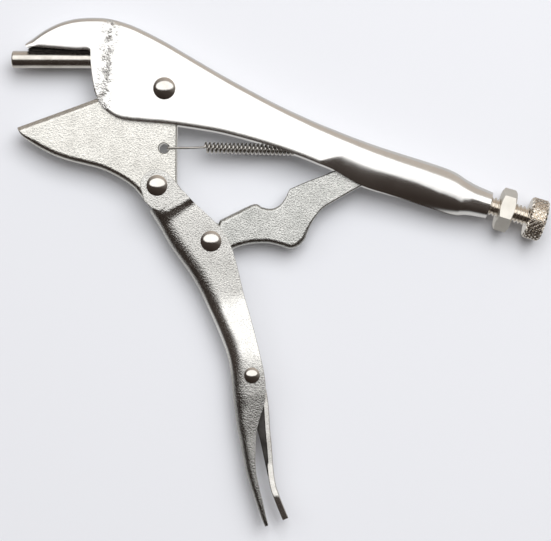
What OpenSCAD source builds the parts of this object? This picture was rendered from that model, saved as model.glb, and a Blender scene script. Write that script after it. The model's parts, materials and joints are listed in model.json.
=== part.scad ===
// Locking pliers of the pinch-off kind, lying on their side with the jaws open.
// Millimetres. Drawn about the main pivot, then moved so that the origin is the
// middle of the footprint at floor level. X runs along the upper handle, Y
// towards its spine, Z across the tool along every rivet.

/* [Overall] */
// Distance from the tip of the bar jaw to the end of the knob
tool_length = 190;
// Thickness of the sheet both handles are pressed from
sheet = 1.8;

/* [Jaws] */
// Diameter of the round bar jaw
rod_diameter = 5.8;
// Thickness of the flat lower jaw
jaw_plate = 5.6;
// Width of the chamfers along the clamping edge, seen from the side
chamfer_run = 1.5;
// Depth of those chamfers into the thickness of the jaw
chamfer_depth = 1.1;

/* [Linkage] */
// Thickness of the toggle link
link_plate = 3.8;
// Gap on each side between a plate and the channel around it
side_gap = 0.15;
// Pin diameter of the main rivet
main_pin = 5;
// Pin diameter of the jaw and link rivets
link_pin = 4.6;
// Pin diameter of the release lever rivet
lever_pin = 3;
// How far a rivet head reaches past its pin
head_overhang = 1.25;
// Height of a rivet head
head_height = 1.4;
// Radial gap between a pin and the plate that turns on it
running_gap = 0.05;

/* [Adjuster] */
// Outside diameter of the adjusting screw
screw_diameter = 6.35;
// Wall of the rolled neck around the screw
neck_wall = 1.3;
// Diameter of the knob
knob_diameter = 14.2;
// Length of the knob
knob_length = 5.9;
// Width of the lock nut across its flats
nut_flats = 13;
// Thickness of the lock nut
nut_thickness = 4.9;

/* [Spring] */
// Wire diameter of the tension spring
spring_wire = 0.8;
// Outside diameter of the spring coil
spring_outside = 4;
// Number of turns in the coil
spring_turns = 22;
// Diameter of the hole in the lower jaw that the spring hooks into
spring_hole = 3.5;

/* [Hidden] */

// The plan is drawn for a tool 190 mm long and grows with tool_length
k = tool_length / 190;

// Pivots
A = [0, 0];
J = [-2.5, -32.7] * k;
C = [15.7, -51.5] * k;
E = [29.5, -96.8] * k;
H = [-0.3, -20] * k;

// Widths, measured from the middle plane
nose_gap = max(rod_diameter + 0.1, jaw_plate + 0.2) / 2;
main_gap = nose_gap + 0.35;
rear_gap = max(main_gap, screw_diameter / 2) + 0.25;
lug_gap = jaw_plate / 2 + side_gap;
link_gap = link_plate / 2 + side_gap;
nose_w = nose_gap + sheet;
main_w = main_gap + sheet;
rear_w = rear_gap + sheet;
lug_w = lug_gap + sheet;
link_w = link_gap + sheet;
// The lower handle swells a little around the release lever
swell = 0.7;
grip_w = link_w + swell;

// Screw line: knob centre, direction out of the neck, and the neck's end
screw_angle = -16.5;
u = [cos(screw_angle), sin(screw_angle)];
n = [-sin(screw_angle), cos(screw_angle)];
knob_at = [125.9, -43.9] * k;
neck_end = 16.5 * k;
screw_tip = 53.2 * k;
nut_at = 10.8 * k;
neck_r = screw_diameter / 2 + running_gap + neck_wall;
// Length of the threaded bore, measured back from the knob's centre
bore_from = 27 * k;
bore_to = 12 * k;
// Chamfers on the ends of the knob, the bar and the nut
knob_chamfer = 0.6;
rod_chamfer = 0.6;
nut_chamfer = 0.6;

// Bar jaw line
rod_tip = [-52, 10.35] * k;
rod_end = [-20.2, 10.3] * k;
rod_angle = atan2(rod_end[1] - rod_tip[1], rod_end[0] - rod_tip[0]);

// Footprint, used for the origin
x_low = rod_tip[0];
x_high = knob_at[0] + u[0] * knob_length / 2 + n[0] * (knob_diameter / 2 - knob_chamfer);
y_high = 24.15 * k;
y_low = -148.3 * k;
z_low = -max(knob_diameter / 2, main_w + head_height);

// Half height of a cut that has to go right through
THROUGH = 20;

$fn = 48;

// ---- curves -------------------------------------------------------------

function blend4(a, b, c, d, t) = 0.5 * (2 * b + (c - a) * t
    + (2 * a - 5 * b + 4 * c - d) * t * t + (3 * b - a - 3 * c + d) * t * t * t);

// A smooth curve through every row of a list, n steps between rows
function smooth(rows, n) = let (last = len(rows) - 1) [
    for (i = [0 : last - 1]) for (j = [0 : n - 1])
        blend4(rows[max(i - 1, 0)], rows[i], rows[i + 1], rows[min(i + 2, last)], j / n),
    rows[last]];

// As smooth, but only the four plan sizes of a row curve and the rest run straight
function smooth_rows(rows, n) = let (last = len(rows) - 1) [
    for (i = [0 : last - 1]) for (j = [0 : n - 1]) let (
        c = blend4(rows[max(i - 1, 0)], rows[i], rows[i + 1], rows[min(i + 2, last)], j / n),
        s = rows[i] + (rows[i + 1] - rows[i]) * j / n)
        [for (q = [0 : len(s) - 1]) q < 4 ? c[q] : s[q]],
    rows[last]];

function arc(c, r, a0, a1, n) = [for (i = [0 : n])
    c + r * [cos(a0 + (a1 - a0) * i / n), sin(a0 + (a1 - a0) * i / n)]];

// Points on one side of a curve, at distance d to its left
function beside(line, d) = let (last = len(line) - 1) [
    for (i = [0 : last]) let (
        v = line[min(i + 1, last)] - line[max(i - 1, 0)],
        w = v / norm(v))
        line[i] + d * [-w[1], w[0]]];

function reversed(v) = [for (i = [len(v) - 1 : -1 : 0]) v[i]];

// ---- pressed channel ----------------------------------------------------

// A row is [spine x, spine y, edge x, edge y, half width, spine radius across,
// spine radius down, length of the curl at the edge, turn of the curl in degrees]
CURL = 3;
BEND = 5;

function half(d, w, across, down, curl, turn, t) = let (
    rz = min(across, w - 0.1, 0.85 * d),
    ry = min(down, 0.85 * d),
    lean = turn * PI / 180,
    long = min(curl, (d - ry) * 0.9 * lean / sin(turn)),
    rb = long / lean,
    start = d - rb * sin(turn),
    iz = max(rz - t, 0.15),
    iy = max(ry - t, 0.15)) [
    [for (j = [CURL : -1 : 1]) let (a = turn * j / CURL)
        [w - rb + rb * cos(a), start + rb * sin(a)],
     for (j = [0 : BEND]) let (a = 90 * j / BEND)
        [w - rz + rz * cos(a), ry - ry * sin(a)]],
    [for (j = [CURL : -1 : 1]) let (a = turn * j / CURL)
        [w - rb + (rb - t) * cos(a), start + (rb - t) * sin(a)],
     for (j = [0 : BEND]) let (a = 90 * j / BEND)
        [w - t - iz + iz * cos(a), t + iy - iy * sin(a)]]];

// Closed outline of the sheet at one row, as points in space
function ring(row) = let (
    top = [row[0], row[1]],
    down = [row[2], row[3]] - top,
    d = norm(down),
    dir = down / d,
    t = min(sheet, 0.62 * d),
    h = half(d, row[4], row[5], row[6], row[7], row[8], t),
    out = concat(h[0], [for (p = reversed(h[0])) [-p[0], p[1]]]),
    inn = concat(h[1], [for (p = reversed(h[1])) [-p[0], p[1]]]))
    [for (p = concat(out, reversed(inn)))
        [top[0] + dir[0] * p[1], top[1] + dir[1] * p[1], p[0]]];

module channel(rows) {
    rings = [for (row = rows) ring(row)];
    m = len(rings[0]);
    last = len(rings) - 1;
    pts = [for (r = rings) for (p = r) p];
    sides = [for (i = [0 : last - 1]) for (j = [0 : m - 1])
        let (a = i * m + j, b = i * m + (j + 1) % m)
        each [[a, b, b + m], [a, b + m, a + m]]];
    front = [for (j = [0 : m / 2 - 2]) [j, m - 1 - j, m - 2 - j, j + 1]];
    back = [for (f = front) [for (q = reversed(f)) q + last * m]];
    faces = concat(sides, front, back);
    // Faces turn the other way when the rows run the other way round the spine
    mid = rows[1] - rows[0];
    turn = mid[0] * (rows[0][3] - rows[0][1]) - mid[1] * (rows[0][2] - rows[0][0]);
    polyhedron(pts, turn < 0 ? faces : [for (f = faces) reversed(f)], convexity = 8);
}

// ---- shared shapes ------------------------------------------------------

// Moves a drawing about the main pivot to the part's own origin
module placed() {
    translate([-(x_low + x_high) / 2, -(y_low + y_high) / 2, -z_low]) children();
}

// A flat plate of a given half thickness
module plate(outline, h) {
    translate([0, 0, -h]) linear_extrude(2 * h) polygon(outline);
}

// A hole or pin along Z
module across(at, d, h) {
    translate([at[0], at[1], -h]) cylinder(d = d, h = 2 * h);
}

// A bar between two heights on a line in the plan
module along(at, angle, from, to, d) {
    translate([at[0], at[1], 0]) rotate([0, 0, angle]) rotate([0, 90, 0])
        translate([0, 0, from]) cylinder(d = d, h = to - from);
}

// A rivet whose heads sit on faces at plus and minus w
module rivet(at, pin, w) {
    r = pin / 2 + head_overhang;
    translate([at[0], at[1], 0]) rotate_extrude() polygon([
        [0, -w - head_height], [r * 0.5, -w - head_height * 0.88],
        [r * 0.82, -w - head_height * 0.6], [r, -w - head_height * 0.22], [r, -w],
        [pin / 2, -w], [pin / 2, w], [r, w], [r, w + head_height * 0.22],
        [r * 0.82, w + head_height * 0.6], [r * 0.5, w + head_height * 0.88],
        [0, w + head_height]]);
}

// ---- upper handle -------------------------------------------------------

flat = 0.5;

function scaled(rows) = [for (r = rows)
    [r[0] * k, r[1] * k, r[2] * k, r[3] * k, r[4], r[5], r[6], r[7], r[8]]];

function neck_row(s, r, turn) = let (c = knob_at - s * k * u)
    [c[0] + r * n[0], c[1] + r * n[1], c[0] - r * n[0], c[1] - r * n[1],
     r, r, r, r * turn * PI / 180, turn];

upper_rows = concat(scaled([
    [-47, 15.1, -46.6, 13.9, nose_w, 2.4, 2.4, 4, flat],
    [-44.9, 16.8, -44.4, 14.1, nose_w, 2.4, 2.4, 4, flat],
    [-40.5, 19.9, -40.1, 13.8, nose_w, 2.4, 2.4, 4, flat],
    [-35.4, 22.4, -35.2, 13.4, nose_w, 2.4, 2.4, 4, flat],
    [-30.5, 23.7, -30.2, 13, nose_w, 2.4, 2.4, 4, flat],
    [-26.5, 24.1, -25.2, 12.6, nose_w, 2.4, 2.4, 4, flat],
    [-24.8, 24.15, -24.8, 7.5, nose_w, 2.4, 2.4, 4, flat],
    [-23.2, 24.15, -24.1, 1.8, nose_w, 2.4, 2.4, 4, flat],
    [-21.6, 24.1, -23.1, -2.3, nose_w, 2.4, 2.4, 4, flat],
    [-19.8, 23.9, -21.1, -6.1, nose_w, 2.4, 2.4, 4, flat],
    [-17.6, 23.5, -18, -8.6, main_w, 2.6, 2.6, 4, flat],
    [-15.2, 22.9, -15.3, -10, main_w, 2.6, 2.6, 4, flat],
    [-11, 21.5, -12.5, -10.6, main_w, 2.6, 2.6, 4, flat],
    [-6, 19.2, -9.5, -10.9, main_w, 2.6, 2.6, 4, flat],
    [0.5, 15.8, -5, -11.3, main_w, 2.6, 2.6, 4, flat],
    [8, 11.4, 1, -11.8, main_w, 2.6, 2.6, 4, flat],
    [18.8, 5.1, 11.5, -13.3, main_w, 2.7, 2.7, 4, flat],
    [27.5, 0.3, 20.5, -15, main_w, 2.8, 2.8, 4, flat],
    [39.1, -5.7, 33, -18.4, main_w, 3, 3, 4, flat],
    [50.5, -10.9, 45.2, -22.5, main_w, 3.4, 3.7, 4, 6],
    [62.9, -15.9, 57.8, -27.7, rear_w, 4, 4.8, 4.5, 20],
    [71.5, -19, 66.7, -32.7, rear_w, 4.5, 5.8, 5.4, 34],
    [79.9, -21.7, 75.8, -35.6, rear_w, 4.9, 6.3, 6, 39],
    [88, -24.2, 84, -38.1, rear_w, 5.2, 6.7, 8, 47],
    [95.2, -26.6, 91.2, -40.5, rear_w, 5.3, 6.9, 8.8, 52],
    [99.2, -28.4, 96, -42, rear_w, 5.3, 6.7, 8.2, 62],
    [102.2, -30.4, 99.2, -42.6, rear_w, 5.3, 6, 7.6, 78]]),
    [neck_row(23.4, neck_r + 0.9, 84),
     neck_row(20.1, neck_r + 0.4, 84),
     neck_row(neck_end / k, neck_r, 84)]);

// Tab pressed in under the spine, which the spring hooks into
tab_at = [50.5, -19.2] * k;
tab_half = 0.6;
tab_hole = spring_wire + 0.9;

module upper_handle() {
    color("silver") placed() difference() {
        union() {
            channel(smooth_rows(upper_rows, 2));
            plate([[-2.5, 0] + tab_at, [-1.6, -1.9] + tab_at, [1.6, -1.9] + tab_at,
                [2.5, 0] + tab_at, [2.5, 6.4 * k] + tab_at, [-2.5, 7.6 * k] + tab_at],
                tab_half);
        }
        across(A, main_pin + 2 * running_gap, THROUGH);
        across(tab_at, tab_hole, THROUGH);
        along(knob_at, screw_angle, -bore_from, -bore_to,
            screw_diameter + 2 * running_gap);
    }
}

module jaw_rod() {
    long = norm(rod_end - rod_tip);
    color("gainsboro") placed()
        translate([rod_tip[0], rod_tip[1], 0]) rotate([0, 0, rod_angle])
        rotate([0, 90, 0]) rotate_extrude() polygon([[0, 0],
            [rod_diameter / 2 - rod_chamfer, 0], [rod_diameter / 2, rod_chamfer],
            [rod_diameter / 2, long], [0, long]]);
}

module rod_weld() {
    color("dimgray") placed() difference() {
        plate([[-46, 10.6] * k, [-21, 10.6] * k, [-21, 14] * k,
            [-32, 14.4] * k, [-41, 14.7] * k, [-44.5, 14.5] * k, [-46, 13.9] * k],
            nose_gap);
        along(rod_tip, rod_angle, -5, 60 * k, rod_diameter);
    }
}

module main_rivet() {
    color("silver") placed() rivet(A, main_pin, main_w);
}

// ---- lower jaw ----------------------------------------------------------

face_tip = [-50, -12.95];
face_angle = 20;
boss = 8.5;
round_end = 6.5;
// The chamfer's cutter starts before the tip and runs past the boss
cut_before = 6;
cut_past = 28;
// Height of the clamping face's line above the pivot, and where it meets the boss
face_rise = face_tip[1] * cos(face_angle) - face_tip[0] * sin(face_angle);
face_meets = 90 + face_angle + acos(face_rise / boss);

jaw_front = smooth([face_tip, [-49.3, -14.6], [-47.6, -16.5], [-43.2, -19.5],
    [-38, -22.2], [-33, -24], [-27, -25.5], [-22, -26.8], [-17.5, -28.8],
    [-13, -31.4], [-10.4, -33.4]], 4);

jaw_outline = k * concat(
    jaw_front,
    arc(J / k, round_end, 215, 360, 14),
    [[J[0] / k + round_end, -22], [J[0] / k + round_end + 0.2, -9]],
    arc([0, 0], boss, -50, face_meets, 14));

module lower_jaw() {
    color("silver") placed() difference() {
        plate(jaw_outline, jaw_plate / 2);
        across(A, main_pin + 2 * running_gap, THROUGH);
        across(J, link_pin + 2 * running_gap, THROUGH);
        across(H, spring_hole, THROUGH);
        for (side = [0, 1])
            mirror([0, 0, side]) translate([face_tip[0] * k, face_tip[1] * k, 0])
                rotate([0, 0, face_angle]) rotate([90, 0, 90])
                translate([0, 0, -cut_before]) linear_extrude(cut_before + cut_past * k)
                polygon([
                    [-chamfer_run, jaw_plate / 2], [-chamfer_run, jaw_plate],
                    [chamfer_run, jaw_plate],
                    [chamfer_run, jaw_plate / 2 - 2 * chamfer_depth]]);
    }
}

// ---- lower handle -------------------------------------------------------

lower_rows = scaled([
    [-5.2, -41.2, 6.1, -34.2, lug_w, 4, 4, 3, flat],
    [-3.6, -43.8, 8.8, -37.2, lug_w, 4, 4, 3, flat],
    [-1.5, -47.2, 10.3, -38.7, link_w, 4, 4, 3, flat],
    [1.6, -52.7, 15.2, -43.2, link_w, 4, 4, 3, flat],
    [5, -57.6, 19.3, -47.6, link_w, 4, 4, 3, flat],
    [8.4, -62.4, 22.4, -53.1, link_w, 4, 4, 3, flat],
    [11.8, -68.2, 24.6, -60.6, link_w, 4, 4, 3, flat],
    [15.2, -75.5, 26.7, -69.4, link_w, 4, 4, 3, flat],
    [18.6, -83.3, 29.4, -78.9, link_w + 0.7 * swell, 4, 4, 3, flat],
    [21.3, -90.8, 31.8, -88.2, grip_w, 4, 4, 3, flat],
    [22.5, -98, 33.7, -96.9, grip_w, 4, 4, 3, flat],
    [23, -103.7, 34.2, -102.6, grip_w, 4, 4, 3, flat],
    [23.6, -108.4, 33.6, -106.7, link_w + 0.7 * swell, 4, 4, 3, flat],
    [24.3, -114, 32, -112, link_w + 0.3 * swell, 3.8, 3.8, 3, flat],
    [25.3, -119, 31, -117, link_w, 3.6, 3.6, 3, flat],
    [26.5, -125.2, 30.7, -123.6, link_w, 3.2, 3.2, 3, flat],
    [27.8, -130.9, 30.9, -129.6, link_w - 0.2, 2.6, 2.6, 3, flat],
    [29.5, -136.2, 31.9, -135.2, link_w - 0.4, 2.2, 2.2, 3, flat],
    [31.3, -141.4, 33.2, -140.5, link_w - 0.7, 1.8, 1.8, 3, flat],
    [32.8, -145.6, 34.2, -145, link_w - 1.2, 1.4, 1.4, 3, flat],
    [33.9, -148.3, 35, -147.8, link_w - 1.9, 1, 1, 3, flat]]);

lug_round = 5.6;
lug_outline = k * concat(
    arc(J / k, lug_round, 40, 205, 12),
    [[-6.9, -38], [-4.2, -40.4], [-1.4, -41.4], [6.5, -36.2], [5.9, -34.4],
     [3.7, -31.4]]);

module lower_handle() {
    color("silver") placed() difference() {
        union() {
            channel(smooth_rows(lower_rows, 2));
            for (side = [-1, 1])
                translate([0, 0, side * (lug_gap + sheet / 2)])
                    plate(lug_outline, sheet / 2);
        }
        across(J, link_pin + 2 * running_gap, THROUGH);
        across(C, link_pin + 2 * running_gap, THROUGH);
        across(E, lever_pin + 2 * running_gap, THROUGH);
    }
}

module jaw_rivet() {
    color("silver") placed() rivet(J, link_pin, lug_w);
}

module link_rivet() {
    color("silver") placed() rivet(C, link_pin, link_w);
}

// ---- toggle link --------------------------------------------------------

link_boss = 6.5;
link_end = [68.6, -28];
link_tip = 3.3;

link_upper = smooth([[18.6, -44.3], [24, -41.6], [30.3, -38.8], [33, -39.9],
    [36, -40.4], [38.8, -39.3], [40.8, -36.8], [42.2, -34], [43.4, -33.3],
    [48, -31.3], [54.3, -28.9], [60.5, -26.3], [67.2, -24.8]], 3);
link_lower = smooth([[69.6, -31.2], [64.5, -33.9], [57.7, -37.8], [53.6, -40.3],
    [50.6, -44], [48.8, -47.4], [47.4, -50.9], [45.2, -53.2], [42.4, -54],
    [39, -53], [35.6, -52.2], [32, -52.1], [28, -52.5], [23.4, -53.9],
    [20.6, -55.8]], 3);

module toggle_link() {
    outline = k * concat(
        arc(C / k, link_boss, 68, 318, 16),
        reversed(concat(link_upper, arc(link_end, link_tip, 84, -68, 6), link_lower)));
    color("silver") placed() difference() {
        plate(outline, link_plate / 2);
        across(C, link_pin + 2 * running_gap, THROUGH);
    }
}

// ---- release lever ------------------------------------------------------

lever_line = smooth([[30.8, -96], [32.3, -98.6], [33.4, -102], [34.2, -108],
    [34.7, -115.6], [35.3, -122], [35.8, -129], [36.6, -134.3], [37.6, -137.5],
    [39, -141.2], [40.9, -145.8]], 3);
lever_thick = 2;
lever_wall = 1.1;
lever_round = 3.2;
nose_round = 1.5;
lever_half = link_plate / 2;
lever_outline = k * concat(beside(lever_line, lever_thick / 2),
    reversed(beside(lever_line, -lever_thick / 2)));
lever_ear = k * concat(arc(E / k, lever_round, -20, 200, 14), [[28.2, -101.5],
    [33, -103.5], [34.4, -102]]);
lever_side = k * [[29, -99], [29.6, -107], [31, -114], [32.4, -119.5],
    [33.7, -125.5], [34.9, -131], [35.9, -130.5], [35.2, -122], [34.6, -115.6],
    [34.1, -108], [33.2, -101.5]];
// Hollow between the lever's two cheeks
lever_pocket = k * [[24, -88.5], [30.2, -88.5], [31.6, -93], [30.8, -97.5],
    [32, -101.5], [33, -108], [33.6, -115.6], [34.1, -121], [34.6, -128],
    [34.6, -133], [24, -133]];
lever_nose = k * concat(arc([27.2, -84.2], nose_round, 0, 180, 6), [[25.5, -88],
    [26.4, -96], [32, -96], [29.6, -90]]);

module release_lever() {
    color("gray") placed() difference() {
        union() {
            plate(lever_outline, lever_half);
            plate(lever_ear, lever_half);
            plate(lever_side, lever_half);
            plate(lever_nose, lever_half);
        }
        across(E, lever_pin + 2 * running_gap, THROUGH);
        plate(lever_pocket, lever_half - lever_wall);
    }
}

module release_rivet() {
    color("silver") placed() rivet(E, lever_pin, grip_w);
}

// ---- tension spring -----------------------------------------------------

coil_r = (spring_outside - spring_wire) / 2;
coil_from = [13.6, -19.7, 1.25];
coil_to = [43.6, -21, 0.35];
COIL_STEPS = 12;
WIRE_SIDES = 6;

function at_k(p) = [p[0] * k, p[1] * k, p[2]];

// The wire's middle line: hook, leg, coil, leg, hook
spring_line = let (
    a = at_k(coil_from),
    b = at_k(coil_to),
    ax = (b - a) / norm(b - a),
    side = [-ax[1], ax[0], 0] / norm([ax[1], ax[0], 0]),
    up = cross(ax, side),
    turns = round(spring_turns),
    face = jaw_plate / 2 + spring_wire / 2 + 0.06,
    grip = spring_hole / 2 - spring_wire / 2 - running_gap,
    steps = turns * COIL_STEPS)
    concat(
        [[H[0] + grip, H[1], -jaw_plate / 2 - 0.9],
         [H[0] + grip, H[1], face - 0.9],
         [H[0] + grip + 0.25, H[1], face - 0.25],
         [H[0] + grip + 0.9, H[1], face],
         [a[0] - 4, H[1] + 0.1, face]],
        [for (i = [0 : steps]) let (f = i / steps, w = 360 * turns * f)
            a + (b - a) * f + coil_r * (cos(w) * up + sin(w) * side)],
        [[b[0] + 1.4, b[1] + 0.5, coil_r * 0.9 + 0.2],
         [tab_at[0] - 1.2, tab_at[1] - 0.3, coil_r * 0.8],
         [tab_at[0] - 0.3, tab_at[1], coil_r * 0.5],
         [tab_at[0], tab_at[1], 0.4],
         [tab_at[0], tab_at[1], -1.6]]);

module wire(line, r) {
    last = len(line) - 1;
    rings = [for (i = [0 : last]) let (
        t = line[min(i + 1, last)] - line[max(i - 1, 0)],
        d = t / norm(t),
        ref = abs(d[1]) < 0.9 ? [0, 1, 0] : [1, 0, 0],
        p = cross(d, ref) / norm(cross(d, ref)),
        q = cross(d, p))
        [for (j = [0 : WIRE_SIDES - 1]) let (a = 360 * j / WIRE_SIDES)
            line[i] + r * (cos(a) * p + sin(a) * q)]];
    m = WIRE_SIDES;
    sides = [for (i = [0 : last - 1]) for (j = [0 : m - 1])
        let (a = i * m + j, b = i * m + (j + 1) % m)
        each [[a, b + m, b], [a, a + m, b + m]]];
    polyhedron([for (r = rings) for (p = r) p], concat(sides,
        [[for (j = [0 : m - 1]) j]],
        [[for (j = [m - 1 : -1 : 0]) last * m + j]]), convexity = 10);
}

module tension_spring() {
    color("silver") placed() wire(spring_line, spring_wire / 2);
}

// ---- adjuster -----------------------------------------------------------

tip_chamfer = 1;

module adjusting_screw() {
    r = screw_diameter / 2;
    color("tan") placed()
        translate([knob_at[0], knob_at[1], 0]) rotate([0, 0, screw_angle])
        rotate([0, 90, 0]) rotate_extrude() polygon([[0, -screw_tip],
            [r - tip_chamfer, -screw_tip], [r, -screw_tip + tip_chamfer],
            [r, knob_length / 2], [0, knob_length / 2]]);
}

module knurled_knob() {
    r = knob_diameter / 2;
    h = knob_length / 2;
    bore = screw_diameter / 2 + running_gap;
    color("tan") placed()
        translate([knob_at[0], knob_at[1], 0]) rotate([0, 0, screw_angle])
        rotate([0, 90, 0]) rotate_extrude() polygon([[bore, -h], [r - knob_chamfer, -h],
            [r, -h + knob_chamfer], [r, h - knob_chamfer], [r - knob_chamfer, h],
            [bore, h]]);
}

// Turn of the nut about the screw
nut_turn = 24;

module lock_nut() {
    across_corners = nut_flats / cos(30);
    h = nut_thickness / 2;
    color("tan") placed()
        translate([knob_at[0], knob_at[1], 0]) rotate([0, 0, screw_angle])
        translate([-nut_at, 0, 0]) rotate([0, 90, 0]) difference() {
            intersection() {
                rotate([0, 0, nut_turn]) translate([0, 0, -h])
                    cylinder(d = across_corners, h = nut_thickness, $fn = 6);
                rotate_extrude() polygon([[0, -h], [nut_flats / 2 - 0.1, -h],
                    [across_corners / 2, -h + nut_chamfer],
                    [across_corners / 2, h - nut_chamfer],
                    [nut_flats / 2 - 0.1, h], [0, h]]);
            }
            translate([0, 0, -h - 1])
                cylinder(d = screw_diameter + 2 * running_gap, h = nut_thickness + 2);
        }
}

upper_handle();
jaw_rod();
rod_weld();
main_rivet();
lower_jaw();
jaw_rivet();
lower_handle();
toggle_link();
link_rivet();
release_lever();
release_rivet();
tension_spring();
adjusting_screw();
knurled_knob();
lock_nut();
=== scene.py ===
# Locking pliers of the pinch-off kind, lying open on a pale floor.
# Plan sizes are millimetres about the main pivot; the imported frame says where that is.
import json
import math

import bpy
import bmesh
import numpy as np
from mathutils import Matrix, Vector, noise


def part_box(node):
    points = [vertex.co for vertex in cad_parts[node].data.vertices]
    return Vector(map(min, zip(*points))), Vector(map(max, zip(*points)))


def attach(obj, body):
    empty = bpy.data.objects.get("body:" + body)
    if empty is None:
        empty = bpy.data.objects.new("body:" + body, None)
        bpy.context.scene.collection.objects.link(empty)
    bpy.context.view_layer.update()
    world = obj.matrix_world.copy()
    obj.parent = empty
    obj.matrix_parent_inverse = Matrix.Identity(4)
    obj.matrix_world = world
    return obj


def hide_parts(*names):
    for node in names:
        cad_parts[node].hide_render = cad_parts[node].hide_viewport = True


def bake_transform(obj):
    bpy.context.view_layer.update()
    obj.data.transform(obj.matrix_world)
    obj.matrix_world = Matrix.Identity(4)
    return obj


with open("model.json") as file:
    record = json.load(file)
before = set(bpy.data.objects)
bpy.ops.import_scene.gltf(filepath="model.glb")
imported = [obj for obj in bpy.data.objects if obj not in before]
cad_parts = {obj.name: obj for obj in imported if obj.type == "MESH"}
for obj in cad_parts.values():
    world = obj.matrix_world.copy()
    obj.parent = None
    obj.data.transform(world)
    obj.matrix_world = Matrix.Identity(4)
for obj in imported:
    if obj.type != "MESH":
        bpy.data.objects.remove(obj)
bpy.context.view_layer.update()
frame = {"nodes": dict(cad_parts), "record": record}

# ---- places and sizes ------------------------------------------------------

joints = {j["name"]: j for j in frame["record"]["behaviour"]["joints"]}
pivot = Vector(joints["jaw_hinge"]["pos_m"])
MM = 0.001


def place(x, y, z=0.0):
    """A point of the plan, in metres in the row frame."""
    return pivot + Vector((x, y, z)) * MM


def plan(joint):
    """Where a joint is in the plan, in millimetres about the main pivot."""
    p = (Vector(joints[joint]["pos_m"]) - pivot) / MM
    return p.x, p.y


def thickness(node, axis=2):
    low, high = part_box(node)
    return (high[axis] - low[axis]) / MM


JAW_PIN = plan("handle_hinge")
LINK_PIN = plan("link_hinge")
LEVER_PIN = plan("lever_hinge")
SPRING_HOLE = (-0.3, -20.0)
SHEET = 1.8             # pressed sheet of both handles
GAP = 0.05              # radial clearance of a pin in its hole
JAW_HALF = thickness("lower_jaw") / 2
LINK_HALF = thickness("toggle_link") / 2
ROD_R = 2.9
SCREW_R = 3.175
NECK_R = SCREW_R + GAP + 1.3
KNOB_R = thickness("knurled_knob") / 2
KNOB_HALF = 2.95
PITCH = 1.27
NOSE_W = 4.75
MAIN_W = NOSE_W + 0.35
REAR_W = MAIN_W + 0.25
LUG_W = JAW_HALF + 0.15 + SHEET
LINK_W = LINK_HALF + 0.15 + SHEET
SWELL = 0.7
GRIP_W = LINK_W + SWELL

out_of_neck = Vector(joints["screw_slide"]["axis"])
across_screw = Vector((-out_of_neck.y, out_of_neck.x, 0))
KNOB_AT = plan("knob_turn")


# ---- curves ----------------------------------------------------------------

def smooth(rows, steps):
    """A smooth curve through every row."""
    rows = np.array(rows, float)
    last = len(rows) - 1
    line = []
    for i in range(last):
        a, b, c, d = (rows[min(max(i + j, 0), last)] for j in (-1, 0, 1, 2))
        for s in range(steps):
            t = s / steps
            line.append(0.5 * (2 * b + (c - a) * t + (2 * a - 5 * b + 4 * c - d) * t ** 2
                               + (3 * b - a - 3 * c + d) * t ** 3))
    line.append(rows[last])
    return [tuple(p) for p in line]


def smooth_rows(rows, steps):
    """As smooth, but only the four plan sizes of a row curve and the rest run straight."""
    curved = np.array(smooth(rows, steps))
    rows = np.array(rows, float)
    for i in range(len(rows) - 1):
        for s in range(steps):
            curved[i * steps + s, 4:] = rows[i, 4:] + (rows[i + 1, 4:] - rows[i, 4:]) * s / steps
    return [tuple(row) for row in curved]


def arc(centre, r, start, end, steps):
    turns = [math.radians(start + (end - start) * i / steps) for i in range(steps + 1)]
    return [(centre[0] + r * math.cos(t), centre[1] + r * math.sin(t)) for t in turns]


def beside(line, d):
    """Points at distance d to the left of a line."""
    moved = []
    for i, p in enumerate(line):
        a, b = line[max(i - 1, 0)], line[min(i + 1, len(line) - 1)]
        v = Vector((b[0] - a[0], b[1] - a[1])).normalized()
        moved.append((p[0] - d * v.y, p[1] + d * v.x))
    return moved


# ---- mesh helpers ----------------------------------------------------------

def finish_mesh(name, mesh, body, node, material, sharp=35):
    """Smooth shading with sharp edges kept, and a body to ride on."""
    mesh.shade_smooth()
    mesh.set_sharp_from_angle(angle=math.radians(sharp))
    obj = bpy.data.objects.new(name, mesh)
    bpy.context.collection.objects.link(obj)
    mesh.materials.clear()
    mesh.materials.append(material)
    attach(obj, body)
    if node:
        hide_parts(node)
    return obj


def even_normals(obj):
    m = obj.modifiers.new("normals", "WEIGHTED_NORMAL")
    m.keep_sharp = True
    m.weight = 80


def round_edges(obj, width, angle=50, segments=3):
    m = obj.modifiers.new("round", "BEVEL")
    m.width = width * MM
    m.segments = segments
    m.limit_method = "ANGLE"
    m.angle_limit = math.radians(angle)
    m.harden_normals = False
    even_normals(obj)


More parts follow.
